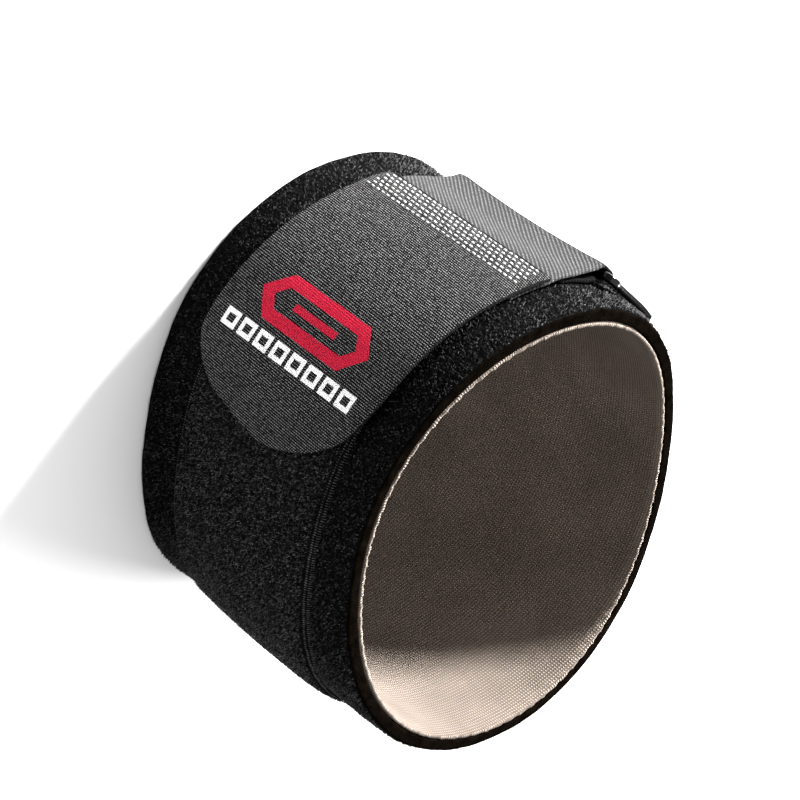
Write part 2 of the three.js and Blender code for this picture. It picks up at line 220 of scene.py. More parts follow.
def softness(along, height, rim):
    """How far the foam stands out where nothing presses on it, and its slight unevenness."""
    low, high = cover_edges(along)
    above = np.clip((height - high) / (rim - high), 0, 1)
    below = np.clip(1 - height / low, 0, 1)
    roll = np.sin(math.pi * above**0.8) + 0.8 * np.sin(math.pi * below**0.8)
    uneven = np.sin(along * 0.31 + height * 0.09) + np.sin(along * 0.173 - height * 0.21 + 1)
    fine = np.sin(along * 0.83 + 2 * np.sin(height * 0.3)) * np.sin(height * 0.61 + along * 0.12)
    return 0.34 * roll * panel_cover(along) + 0.07 * uneven + 0.05 * fine


def on_band(along, height, lift):
    """Points on the band's soft outer face, out by a lift."""
    angle = angle_along(along)
    point, _, out = face_at(angle)
    out_by = lift + edge_lift(angle, height) + softness(along, height, rim_height(angle))
    return np.concatenate([point + out * out_by[..., None], height[..., None]], axis=-1)


def on_face(along, height, lift):
    """Points at a lift from the band's plain outer face."""
    point, _, out = face_at(angle_along(along))
    return np.concatenate([point + out * lift[..., None], height[..., None]], axis=-1)


# The model's frame lies a little beside the arm's axis: the band's own box says how far

def frame_shift():
    angle = np.arange(CAD_SECTIONS) * 2 * math.pi / CAD_SECTIONS
    point, _, out = face_at(angle)
    rows = []
    for height in (0, EDGE_EASE, EDGE_REACH, rim_height(angle)):
        lift = edge_lift(angle, height) - (EDGE_EASE if np.isscalar(height) and height == 0 else 0)
        rows.append(point + out * lift[:, None])
    plan = np.concatenate(rows)
    low, high = (np.array(corner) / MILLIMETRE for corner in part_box("neoprene_band"))
    middle = (plan.min(axis=0) + plan.max(axis=0)) / 2
    return np.array([*((low + high)[:2] / 2 - middle), 0])


SHIFT = frame_shift()


# Mesh makers

def make_object(name, points, faces, uv=None, face_slots=None, materials=(), sharp=None):
    """A mesh from points in millimetres. uv has a row for each corner of each face."""
    mesh = bpy.data.meshes.new(name)
    mesh.from_pydata(((points + SHIFT) * MILLIMETRE).tolist(), [], faces)
    if uv is not None:
        layer = mesh.uv_layers.new(name="cloth")
        layer.data.foreach_set("uv", np.asarray(uv, dtype=np.float32).ravel())
    mesh.polygons.foreach_set("use_smooth", np.ones(len(mesh.polygons), dtype=bool))
    if sharp:
        mesh.set_sharp_from_angle(angle=sharp * DEGREE)
    for material in materials:
        mesh.materials.append(material)
    if face_slots is not None:
        mesh.polygons.foreach_set("material_index", np.asarray(face_slots, dtype=np.int32))
    mesh.update()
    piece = bpy.data.objects.new(name, mesh)
    bpy.context.collection.objects.link(piece)
    return piece


def loft(name, rings, uv, closed, slots=None, materials=(), sharp=None):
    """Joins rings of points, each closed on itself, into one solid. uv has one more column
    than the rings have points, and one more row if the solid closes on its first ring."""
    count, size = rings.shape[:2]
    spans = count if closed else count - 1
    i, j = np.meshgrid(np.arange(spans), np.arange(size), indexing="ij")
    near, far = i * size, (i + 1) % count * size
    beside = (j + 1) % size
    quads = np.stack([near + j, near + beside, far + beside, far + j], axis=-1).reshape(-1, 4)
    corners = np.stack([uv[i, j], uv[i, j + 1], uv[i + 1, j + 1], uv[i + 1, j]], axis=2)
    corners = corners.reshape(-1, 4, 2)
    points = rings.reshape(-1, 3)
    a, b, c, d = (points[quads[:, k]] for k in range(4))
    volume = np.einsum("ij,ij->i", a, np.cross(b, c) + np.cross(c, d)).sum()
    if volume < 0:
        quads, corners = quads[:, ::-1], corners[:, ::-1]
    faces = quads.tolist()
    flat_uv = corners.reshape(-1, 2)
    face_slots = None if slots is None else np.tile(slots, spans)
    if not closed:
        first = list(range(size))
        last = [(count - 1) * size + k for k in range(size)]
        ends = [first[::-1], last] if volume > 0 else [first, last[::-1]]
        faces += ends
        flat_uv = np.concatenate([flat_uv, np.zeros((2 * size, 2))])
        if face_slots is not None:
            face_slots = np.concatenate([face_slots, [slots[-1], slots[-1]]])
    return make_object(name, points, faces, flat_uv, face_slots, materials, sharp)


def threads(name, starts, ends, normals, radius, arch, material, rings=5, sides=5):
    """Short bent threads from starts to ends, arched out along their normals."""
    share = np.linspace(0, 1, rings)
    bow = 1 - (2 * share - 1) ** 4
    thin = 0.35 + 0.65 * (1 - (2 * share - 1) ** 6)
    middle = mix(starts[:, None], ends[:, None], share[None, :, None])
    middle = middle + normals[:, None] * ((arch + radius) * bow - radius)[None, :, None]
    side = unit(np.cross(normals, unit(ends - starts)))
    angle = np.arange(sides) * 2 * math.pi / sides
    ring = side[:, None] * np.cos(angle)[None, :, None] + normals[:, None] * np.sin(angle)[None, :, None]
    points = middle[:, :, None] + ring[:, None] * (radius * thin)[None, :, None, None]
    i, j = np.meshgrid(np.arange(rings - 1), np.arange(sides), indexing="ij")
    beside = (j + 1) % sides
    quads = np.stack([i * sides + j, (i + 1) * sides + j, (i + 1) * sides + beside, i * sides + beside], axis=-1)
    quads = quads.reshape(-1, 4)
    caps = np.array([list(range(sides)), [(rings - 1) * sides + k for k in range(sides)][::-1]])
    faces = []
    for index in range(len(starts)):
        offset = index * rings * sides
        faces += (quads + offset).tolist()
        faces += (caps + offset).tolist()
    return make_object(name, points.reshape(-1, 3), faces, materials=[material])


def tufts(name, base, normal, length, width, lean, material):
    """Closed spikes of pile, one for each base point, each leaning its own way."""
    count = len(base)
    across = unit(np.cross(normal, random.normal(size=(count, 3))))
    beside = np.cross(normal, across)
    turn = np.arange(3) * 2 * math.pi / 3
    foot = across[:, None] * np.cos(turn)[None, :, None] + beside[:, None] * np.sin(turn)[None, :, None]
    widths = width * random.uniform(0.7, 1.3, count)
    lengths = length * random.uniform(0.55, 1.35, count)
    foot = base[:, None] - normal[:, None] * 0.12 + foot * widths[:, None, None]
    tip = base + normal * lengths[:, None] + across * (lean * random.uniform(0.2, 1, count))[:, None]
    points = np.concatenate([foot, tip[:, None]], axis=1).reshape(-1, 3)
    one = np.array([(0, 1, 3), (1, 2, 3), (2, 0, 3), (2, 1, 0)])
    faces = (one[None] + 4 * np.arange(count)[:, None, None]).reshape(-1, 3)
    shade = random.uniform(0, 1, count)
    height = np.where(one == 3, 1.0, 0.0)
    uv = np.stack(np.broadcast_arrays(shade[:, None, None], height[None]), axis=-1)
    return make_object(name, points, faces.tolist(), uv.reshape(-1, 2), materials=[material])


# Materials

class Finish:
    """A node material, with short calls for the nodes that it is made of."""

    def __init__(self, name, roughness=0.9, sheen=0.0, sheen_roughness=0.5, coat=0.0, specular=0.5):
        self.material = bpy.data.materials.new(name)
        self.material.use_nodes = True
        self.tree = self.material.node_tree
        self.shader = self.tree.nodes["Principled BSDF"]
        self.shader.inputs["Roughness"].default_value = roughness
        self.shader.inputs["Sheen Weight"].default_value = sheen
        self.shader.inputs["Sheen Roughness"].default_value = sheen_roughness
        self.shader.inputs["Coat Weight"].default_value = coat
        self.shader.inputs["Specular IOR Level"].default_value = specular

    def node(self, kind, **inputs):
        made = self.tree.nodes.new(kind)
        for key, value in inputs.items():
            self.put(made.inputs[key.replace("_", " ")], value)
        return made

    def put(self, socket, value):
        if isinstance(value, bpy.types.NodeSocket):
            self.tree.links.new(value, socket)
        else:
            socket.default_value = value

    def sum(self, operation, *values, clamp=False):
        made = self.tree.nodes.new("ShaderNodeMath")
        made.operation = operation
        made.use_clamp = clamp
        for socket, value in zip(made.inputs, values):
            self.put(socket, value)
        return made.outputs[0]

    def cloth(self):
        """The distance along and across the cloth, in millimetres."""
        made = self.tree.nodes.new("ShaderNodeUVMap")
        made.uv_map = "cloth"
        parts = self.node("ShaderNodeSeparateXYZ", Vector=made.outputs[0])
        return parts.outputs[0], parts.outputs[1]

    def place(self):
        return self.tree.nodes.new("ShaderNodeTexCoord").outputs["Object"]

    def noise(self, scale, detail=2.0, vector=None, roughness=0.5):
        made = self.node("ShaderNodeTexNoise", Scale=scale, Detail=detail, Roughness=roughness)
        self.put(made.inputs["Vector"], vector or self.place())
        return made.outputs["Fac"]

    def ramp(self, value, *stops):
        made = self.node("ShaderNodeValToRGB", Fac=value)
        ramp = made.color_ramp
        while len(ramp.elements) < len(stops):
            ramp.elements.new(0.5)
        for element, (place, colour) in zip(ramp.elements, stops):
            element.position = place
            level = colour if isinstance(colour, tuple) else (colour, colour, colour)
            element.color = (*level, 1)
        return made.outputs["Color"]

    def blend(self, share, first, second, kind="MIX"):
        made = self.tree.nodes.new("ShaderNodeMix")
        made.data_type = "RGBA"
        made.blend_type = kind
        self.put(made.inputs["Factor"], share)
        for socket, value in ((made.inputs[6], first), (made.inputs[7], second)):
            self.put(socket, (*value, 1) if isinstance(value, tuple) else value)
        return made.outputs[2]

    def colour(self, value):
        self.put(self.shader.inputs["Base Color"], (*value, 1) if isinstance(value, tuple) else value)

    def roughness(self, value):
        self.put(self.shader.inputs["Roughness"], value)

    def bump(self, height, distance, strength=1.0):
        made = self.node("ShaderNodeBump", Height=height, Distance=distance * MILLIMETRE, Strength=strength)
        self.put(self.shader.inputs["Normal"], made.outputs[0])


def wave(finish, value, period):
    """A smooth wave from 0 to 1 along a distance."""
    turned = finish.sum("MULTIPLY", value, 2 * math.pi / period)
    return finish.sum("MULTIPLY_ADD", finish.sum("SINE", turned), 0.5, 0.5)


def pile_finish():
    finish = Finish("black_pile", roughness=1.0, specular=0.0)
    speck = finish.noise(1500, 3, roughness=0.7)
    finish.colour(finish.ramp(speck, (0.4, 0.0012), (0.6, 0.004), (0.75, 0.02)))
    finish.bump(speck, 0.5)
    return finish.material


def tuft_finish(name, dark, light, power):
    """Pile threads: dark at the root, and some of them light at the tip."""
    finish = Finish(name, roughness=0.9, sheen=0.05, sheen_roughness=0.4, specular=0.05)
    shade, height = finish.cloth()
    level = finish.sum("MULTIPLY", finish.sum("POWER", shade, power), finish.sum("POWER", height, 1.3))
    cloud = finish.noise(420, 2)
    level = finish.sum("MULTIPLY", level, finish.sum("MULTIPLY_ADD", cloud, 2.4, -0.3), clamp=True)
    finish.colour(finish.ramp(level, (0.0, dark), (0.3, mix(dark, light, 0.3)), (1.0, light)))
    finish.roughness(finish.sum("MULTIPLY_ADD", shade, 0.15, 0.8))
    return finish.material


def foam_finish():
    finish = Finish("foam_cut", roughness=1.0, specular=0.0)
    cells = finish.node("ShaderNodeTexVoronoi", Vector=finish.place(), Scale=2600.0).outputs["Distance"]
    soft = finish.noise(400, 3)
    finish.colour(finish.ramp(soft, (0.3, (0.0009, 0.0006, 0.0004)), (0.7, (0.003, 0.0022, 0.0016))))
    finish.bump(cells, 0.12)
    return finish.material


def lining_finish():
    finish = Finish("lining_knit", roughness=0.95, sheen=0.05, specular=0.1)
    along, across = finish.cloth()
    course = wave(finish, across, 0.8)
    wale = wave(finish, finish.sum("ADD", along, finish.sum("MULTIPLY", course, 0.25)), 0.7)
    knit = finish.sum("MULTIPLY", wale, course)
    cloud = finish.noise(60, 3)
    base = finish.ramp(knit, (0.0, (0.1, 0.08, 0.066)), (0.6, (0.27, 0.222, 0.184)))
    shade = finish.ramp(cloud, (0.3, 0.72), (0.7, 1.0))
    finish.colour(finish.blend(1.0, base, shade, "MULTIPLY"))
    finish.bump(knit, 0.25)
    return finish.material


def panel_finish():
    finish = Finish("loop_cloth", roughness=1.0, specular=0.0)
    speck = finish.noise(900, 4, roughness=0.75)
    finish.colour(finish.ramp(speck, (0.4, 0.0015), (0.6, 0.006), (0.75, 0.03)))
    finish.bump(speck, 0.6)
    return finish.material


def box_mask(finish, along, across, place, size, soft=0.12):
    """1 inside a box of the cloth, with a soft edge."""
    inside = []
    for value, middle, width in zip((along, across), place, size):
        away = finish.sum("ABSOLUTE", finish.sum("SUBTRACT", value, middle))
        inside.append(finish.sum("DIVIDE", finish.sum("SUBTRACT", width / 2, away), soft, clamp=True))
    return finish.sum("MULTIPLY", *inside)


def hexagon_mask(finish, along, across, place, half_width, half_length, slope, soft=0.12):
    """1 inside a long hexagon with a point at either end."""
    x = finish.sum("ABSOLUTE", finish.sum("SUBTRACT", along, place[0]))
    y = finish.sum("ABSOLUTE", finish.sum("SUBTRACT", across, place[1]))
    side = finish.sum("SUBTRACT", half_width, x)
    ends = finish.sum("SUBTRACT", half_length, finish.sum("MULTIPLY_ADD", x, slope, y))
    return finish.sum("DIVIDE", finish.sum("MINIMUM", side, ends), soft, clamp=True)


RED_PLACE = (-9.0, -0.5)
RED_HALF_WIDTH, RED_HALF_LENGTH, RED_SLOPE, RED_LINE = 5.4, 16.5, 0.9, 2.7
RED_BAR = (1.7, 13)
MARKS_PLACE, MARKS_LENGTH, MARKS_STEP = (-0.1, -0.5), 41, 5.125
MARK_SIZE, MARK_LINE = (3.9, 4.2), 1.0


def print_marks(finish, along, across):
    """A row of small open boxes."""
    turns = finish.sum("DIVIDE", finish.sum("SUBTRACT", across, MARKS_PLACE[1] - MARKS_LENGTH / 2), MARKS_STEP)
    within = finish.sum("MULTIPLY", finish.sum("SUBTRACT", finish.sum("FRACT", turns), 0.5), MARKS_STEP)
    outer = box_mask(finish, along, within, (MARKS_PLACE[0], 0), MARK_SIZE)
    inner_size = [size - 2 * MARK_LINE for size in MARK_SIZE]
    inner = box_mask(finish, along, within, (MARKS_PLACE[0], 0), inner_size)
    row = box_mask(finish, along, across, MARKS_PLACE, (MARK_SIZE[0], MARKS_LENGTH))
    return finish.sum("MULTIPLY", row, finish.sum("SUBTRACT", outer, inner, clamp=True))


def ribbed_weave(finish, along, across, rib_pitch, slant, pick_pitch):
    """How near each spot is to the top of a thread, from 0 to 1."""
    turns = finish.sum("DIVIDE", finish.sum("MULTIPLY_ADD", across, slant, along), rib_pitch)
    rib = wave(finish, turns, 1)
    row = finish.sum("FLOOR", finish.sum("SUBTRACT", turns, 0.75))
    pick = wave(finish, finish.sum("MULTIPLY_ADD", row, 0.5 * pick_pitch, across), pick_pitch)
    thread = finish.sum("MULTIPLY", finish.sum("POWER", rib, 1.5), finish.sum("MULTIPLY_ADD", pick, 0.6, 0.4))
    uneven = finish.sum("MULTIPLY_ADD", finish.noise(2400, 2), 2.6, -0.4)
    return finish.sum("MULTIPLY", thread, uneven, clamp=True)


def tab_finish():
    """Fine ribbed weave, with a plain red frame and a row of white marks printed on it."""
    finish = Finish("tab_weave", roughness=0.8, specular=0.02)
    along, across = finish.cloth()
    level = ribbed_weave(finish, along, across, RIB_PITCH, RIB_SLANT, PICK_PITCH)
    cloth = finish.ramp(level, (0.0, 0.001), (0.3, 0.009), (0.9, 0.185))
    # Painted shade: a thin black line across the tab's root, where its edge stands over the elastic.
    root_shade_line = box_mask(finish, along, across, (TAB_ROOT, 0), (0.8, 2 * TAB_WIDTH))
    cloth = finish.blend(root_shade_line, cloth, (0.002, 0.002, 0.002))
    red = finish.sum(
        "SUBTRACT",
        hexagon_mask(finish, along, across, RED_PLACE, RED_HALF_WIDTH, RED_HALF_LENGTH, RED_SLOPE),
        hexagon_mask(
            finish, along, across, RED_PLACE, RED_HALF_WIDTH - RED_LINE,
            RED_HALF_LENGTH - 1.4 * RED_LINE, RED_SLOPE,
        ),
        clamp=True,
    )
    bar = box_mask(finish, along, across, RED_PLACE, RED_BAR)
    red = finish.sum("MAXIMUM", red, bar)
    white = print_marks(finish, along, across)
    worn = finish.sum("MULTIPLY_ADD", level, 0.35, 0.8, clamp=True)
    cloth = finish.blend(finish.sum("MULTIPLY", red, worn), cloth, (0.4, 0.012, 0.034))
    cloth = finish.blend(finish.sum("MULTIPLY", white, worn), cloth, (0.8, 0.8, 0.8))
    finish.colour(cloth)
    finish.bump(level, 0.12)
    return finish.material


def webbing_finish(name, dark, light, pitch, slant, pick_pitch, painted_shade_from=None):
    """Ribbed webbing. It can turn black at a distance along, which is painted shade."""
    finish = Finish(name, roughness=0.8, specular=0.03)
    along, across = finish.cloth()
    level = ribbed_weave(finish, along, across, pitch, slant, pick_pitch)
    colour = finish.ramp(level, (0.0, dark), (0.45, mix(dark, light, 0.3)), (0.9, light))
    if painted_shade_from is not None:
        # Painted shade: beyond the given distance the weave is darkened to black.
        black = finish.ramp(level, (0.0, 0.001), (0.9, 0.009))
        share = finish.sum("SUBTRACT", along, painted_shade_from, clamp=True)
        colour = finish.blend(share, colour, black)
    finish.colour(colour)
    finish.bump(level, 0.15)
    return finish.material


def plastic_finish():
    finish = Finish("gloss_plastic", roughness=0.1, specular=0.2)
    smear = finish.noise(90, 3)
    finish.colour(finish.ramp(smear, (0.3, 0.0005), (0.7, 0.0015)))
    finish.roughness(finish.sum("MULTIPLY_ADD", smear, 0.05, 0.05))
    finish.bump(finish.noise(300, 2), 0.02)
    return finish.material


def thread_finish(name, dark, light):
    finish = Finish(name, roughness=0.7, specular=0.1)
    twist = finish.noise(2500, 1)
    finish.colour(finish.ramp(twist, (0.35, dark), (0.65, light)))
    finish.bump(twist, 0.05)
    return finish.material


def floor_finish():
    finish = Finish("pale_floor", roughness=0.8, specular=0.2)
    finish.colour(finish.ramp(finish.noise(3, 2), (0.3, 0.86), (0.7, 0.88)))
    return finish.material


# Weave sizes
RIB_PITCH, RIB_SLANT, PICK_PITCH = 0.515, -0.05, 0.53
RIB_RELIEF = 0.018
RIB_COLUMNS = 4


# Sub-parts

def foam_band():
    """The padded band: pile face, rounded cut edges and inner face."""
    sections, wall_rows, inner_rows, corner, flat = 432, 46, 8, 4, 4
    ease = EDGE_EASE
    share = smooth_share(np.linspace(0, 1, wall_rows)) * 0.5 + np.linspace(0, 1, wall_rows) * 0.5
    arc = np.linspace(0, math.pi / 2, corner + 2)[1:-1]
    cut = np.linspace(0, 1, flat)
    inner_share = np.linspace(1, 0, inner_rows)
    # Each row: lift, share of the rim's height, further height, finish
    rows = [(0, s, ease * (1 - 2 * s), 0) for s in share]
    rows += [(-ease * (1 - math.cos(a)), 1, -ease * (1 - math.sin(a)), 1) for a in arc]
    rows += [(mix(-ease, ease - FOAM, s), 1, 0, 1) for s in cut]
    rows += [(-FOAM + ease * (1 - math.sin(a)), 1, -ease * (1 - math.cos(a)), 1) for a in arc]
    rows += [(-FOAM, s, ease * (1 - 2 * s), 1) for s in inner_share]
    rows += [(-FOAM + ease * (1 - math.cos(a)), 0, ease * (1 - math.sin(a)), 1) for a in arc]
    rows += [(mix(ease - FOAM, -ease, s), 0, 0, 1) for s in cut]
    rows += [(-ease * (1 - math.sin(a)), 0, ease * (1 - math.cos(a)), 1) for a in arc]
    lift, rim_share, more, slots = (np.array(column, dtype=float) for column in zip(*rows))
    angle = np.linspace(-math.pi, math.pi, sections, endpoint=False)[:, None]
    height = rim_share * rim_height(angle) + more
    along = np.interp(angle, WALK_ANGLES, WALK_ALONGS)
    soft = np.where(lift > -FOAM / 2, 1, 0) * softness(along, height, rim_height(angle))
    point, _, out = face_at(angle[:, 0])
    out_by = lift + edge_lift(angle, height) + soft
    plan = point[:, None] + out[:, None] * out_by[..., None]
    rings = np.concatenate([plan, height[..., None]], axis=-1)
    uv = np.stack(np.broadcast_arrays(along, height), axis=-1)
    uv = np.concatenate([uv, uv[:, :1]], axis=1)
    last = uv[:1].copy()
    last[..., 0] += PERIMETER
    uv = np.concatenate([uv, last])
    return loft("foam_band", rings, uv, True, slots.astype(int), [pile_finish(), foam_finish()])


def lining_cloth():
    """The lining, with a slightly uneven cut edge."""
    sections, rows = 384, 30
    outer, inner = -FOAM - GAP * 0.3, -FOAM - GAP - LINING
    share = np.linspace(0, 1, rows)
    angle = np.linspace(-math.pi, math.pi, sections, endpoint=False)[:, None]
    along = np.interp(angle, WALK_ANGLES, WALK_ALONGS)
    ragged = 0.12 * np.sin(along * 1.7) + 0.08 * np.sin(along * 4.1 + 1)
    top = rim_height(angle) - LINING_INSET + 0.25 + ragged
    low = mix(LINING_INSET, top, share)
    height = np.concatenate([low, low[:, ::-1]], axis=1)
    lift = np.concatenate([np.full(rows, outer), np.full(rows, inner)])
    lift[[0, rows - 1]] -= 0.15
    lift[[rows, -1]] += 0.15
    point, _, out = face_at(angle[:, 0])
    plan = point[:, None] + out[:, None] * (lift + edge_lift(angle, height))[..., None]
    rings = np.concatenate([plan, height[..., None]], axis=-1)
    uv = np.stack(np.broadcast_arrays(along, height), axis=-1)
    uv = np.concatenate([uv, uv[:, :1]], axis=1)
    last = uv[:1].copy()
    last[..., 0] += PERIMETER
    return loft("lining_cloth", rings, np.concatenate([uv, last]), True, None, [lining_finish()])


def panel_crown(along, across):
    free = along - TAB_TIP - PANEL_CROWN_DELAY
    shape = np.interp(across, PANEL_CROWN_ROWS[:, 0], PANEL_CROWN_ROWS[:, 1])
    return PANEL_CROWN * smooth_share(free / PANEL_CROWN_RUN) * shape


def panel_lift(along, across):
    """The lift of the panel's outer face, thin at its sewn edges."""
    edge = np.minimum(across, 1 - across) * PANEL_WIDTH
    end = np.minimum(along - PANEL_START, PANEL_START + PANEL_LENGTH - along)
    pressed = 0.55 * np.exp(-edge / 1.6) + 0.45 * np.exp(-np.maximum(end, 0) / 1.6)
    uneven = 0.06 * np.sin(along * 0.9 + 5 * across) * np.sin(across * 23 + along * 0.37)
    return GAP + PANEL_THICKNESS + panel_crown(along, across) - pressed + uneven


def on_panel(along, across, lift=0.0):
    height = panel_middle(along) + (across - 0.5) * PANEL_WIDTH
    return on_face(along, height, panel_lift(along, across) + lift)


def panel_cloth():
    sections, rows = 260, 44
    along = np.linspace(PANEL_START, PANEL_START + PANEL_LENGTH, sections)[:, None]
    across = np.linspace(0, 1, rows)[None]
    top = on_panel(along + 0 * across, across + 0 * along)
    low_across = np.array([[0.998, 0.5, 0.002]])
    under_height = panel_middle(along) + (low_across - 0.5) * PANEL_WIDTH
    under = on_face(along + 0 * low_across, under_height, np.full(under_height.shape, 0.05))
    rings = np.concatenate([top, under], axis=1)
    places = np.concatenate([across, low_across, across[:, :1]], axis=1)
    uv = np.stack(np.broadcast_arrays(along, places * PANEL_WIDTH), axis=-1)
    return loft("panel_cloth", rings, uv, False, None, [panel_finish()], sharp=50)


def elastic_lift(rise):
    flat = GAP + ELASTIC / 2
    over_root = ROOT_LIFT + ELASTIC + ROOT_CLEARANCE + ELASTIC / 2
    return mix(flat, over_root, rise)


def tab_lift(along):
    """The lift of the tab's middle."""
    flat = GAP + PANEL_THICKNESS + GAP + TAB_THICKNESS / 2
    over = elastic_lift(TAB_ROOT_RISE) + ELASTIC / 2 + GAP + TAB_THICKNESS / 2
    share = (ELASTIC_END + TAB_STEP_LEAD - along) / (UNDER_TAB + TAB_STEP_LEAD / 2)
    return mix(flat, over, smooth_share(share))


def curve_through(points, share):
    """A centripetal Catmull-Rom curve through points, at shares of its length in points."""
    points = np.asarray(points, dtype=float)
    ends = [2 * points[0] - points[1], *points, 2 * points[-1] - points[-2]]
    spots = np.array(ends)
    place = np.clip(share, 0, 1) * (len(points) - 1)
    index = np.minimum(place.astype(int), len(points) - 2)
    rest = (place - index)[:, None]
    p0, p1, p2, p3 = (spots[index + k] for k in range(4))
    gaps = [np.linalg.norm(b - a, axis=-1, keepdims=True) ** 0.5 for a, b in ((p0, p1), (p1, p2), (p2, p3))]
    d0, d1, d2 = (np.maximum(gap, 1e-4) for gap in gaps)
    t1 = ((p1 - p0) / d0 - (p2 - p0) / (d0 + d1) + (p2 - p1) / d1) * d1
    t2 = ((p2 - p1) / d1 - (p3 - p1) / (d1 + d2) + (p3 - p2) / d2) * d1
    c2 = -3 * p1 + 3 * p2 - 2 * t1 - t2
    c3 = 2 * p1 - 2 * p2 + t1 + t2
    return p1 + t1 * rest + c2 * rest**2 + c3 * rest**3


def tab_edges(along):
    """The tab's two edges, as shares of its width from the middle line."""
    outline = curve_through(TIP_OUTLINE, np.linspace(0, 1, 400))
    back = (TAB_TIP - along) / TAB_WIDTH
    order = outline[::-1]
    low = np.interp(back, order[:, 0], order[:, 1])
    high = np.interp(back, order[:, 0], order[:, 2])
    square = smooth_share((back - 0.45) / 0.1)
    return mix(low, -0.5, square), mix(high, 0.5, square)


def on_tab(along, across, lift=0.0):
    """Points on the tab's outer face. across is in millimetres from its middle line."""
    return on_face(along, strap_middle(along) + across, tab_lift(along) + TAB_THICKNESS / 2 + lift)


def tab_cloth():
    columns = int(TAB_LENGTH / RIB_PITCH * RIB_COLUMNS)
    rows = 40
    along = np.linspace(TAB_ROOT, TAB_TIP, columns)[:, None]
    low, high = tab_edges(along)
    share = np.linspace(0, 1, rows)[None]
    ease = 0.22
    across = mix(low, high, share) * TAB_WIDTH
    wave_turns = 2 * math.pi * (along + RIB_SLANT * across) / RIB_PITCH
    relief = RIB_RELIEF * np.sin(wave_turns) * np.minimum(1, 8 * share * (1 - share))
    edge = np.minimum(share, 1 - share) * (high - low) * TAB_WIDTH
    drop = -0.3 * np.exp(-edge / 0.5)
    top = on_tab(along + 0 * across, across, relief + drop)
    side_share = np.array([[1, 1, 0.98, 0.02, 0, 0]])
    side_lift = np.array([[-ease - 0.2, 0.2 - TAB_THICKNESS, -TAB_THICKNESS, -TAB_THICKNESS,
                           0.2 - TAB_THICKNESS, -ease - 0.2]])
    under_across = mix(low, high, side_share) * TAB_WIDTH
    under = on_tab(along + 0 * under_across, under_across, side_lift + 0 * under_across)
    rings = np.concatenate([top, under], axis=1)
    places = np.concatenate([across, under_across, across[:, :1]], axis=1)
    uv = np.stack(np.broadcast_arrays(along, places), axis=-1)
    slots = [0] * (rows - 1) + [1] * (len(side_share[0]) + 1)
    dark = webbing_finish("hook_layer", 0.002, 0.03, 0.5, 0, 0.5)
    return loft("tab_cloth", rings, uv, False, np.array(slots), [tab_finish(), dark], sharp=50)


def buckle_plan(u, lift):
    angle = angle_along(np.array(BUCKLE_ALONG))
    point, way, out = face_at(angle)
    reach = np.asarray(u, dtype=float)
    bent = np.asarray(lift) - BUCKLE_BEND * np.minimum(reach, 0) ** 2
    return point + way * reach[..., None] + out * bent[..., None]


RAIL_LIFT = BUCKLE_CLEARANCE + RAIL_THICKNESS / 2
STRAP_BAR = dict(
    u=FRONT_REACH - STRAP_BAR_WIDTH / 2, width=STRAP_BAR_WIDTH,
    thickness=STRAP_BAR_THICKNESS, lift=RAIL_LIFT,
)
KEEPER_BAR = dict(
    u=-BACK_REACH + KEEPER_BAR_WIDTH / 2, width=KEEPER_BAR_WIDTH,
    thickness=KEEPER_BAR_THICKNESS, lift=RAIL_LIFT + KEEPER_BAR_RISE,
)
BUCKLE_CENTRE = (STRAP_BAR["u"] + KEEPER_BAR["u"]) / 2
BUCKLE_MIDDLE = float(strap_middle(BUCKLE_ALONG + STRAP_BAR["u"]))
WINDOW_HALF = GATHERED_WIDTH / 2 + WINDOW_CLEARANCE
BAR_BOW = 1.0


def bar_bow(height):
    """How far the strap's pull draws the bar and the elastic in at mid height."""
    away = np.clip(np.abs(height - BUCKLE_MIDDLE + 4) / (WINDOW_HALF + 2), 0, 1)
    return -BAR_BOW * (1 - away**2)


def turn_round(bar, thickness, side):
    radius = bar["thickness"] / 2 + GAP + thickness / 2
    centre = bar["u"] + side * (bar["width"] / 2 - bar["thickness"] / 2)
    angle = np.arange(TURN_STEPS + 1) * math.pi / TURN_STEPS
    return buckle_plan(centre + side * radius * np.sin(angle), bar["lift"] + radius * np.cos(angle))


def plan_at(along, lift):
    point, _, out = face_at(angle_along(np.array(along)))
    return point + out * lift


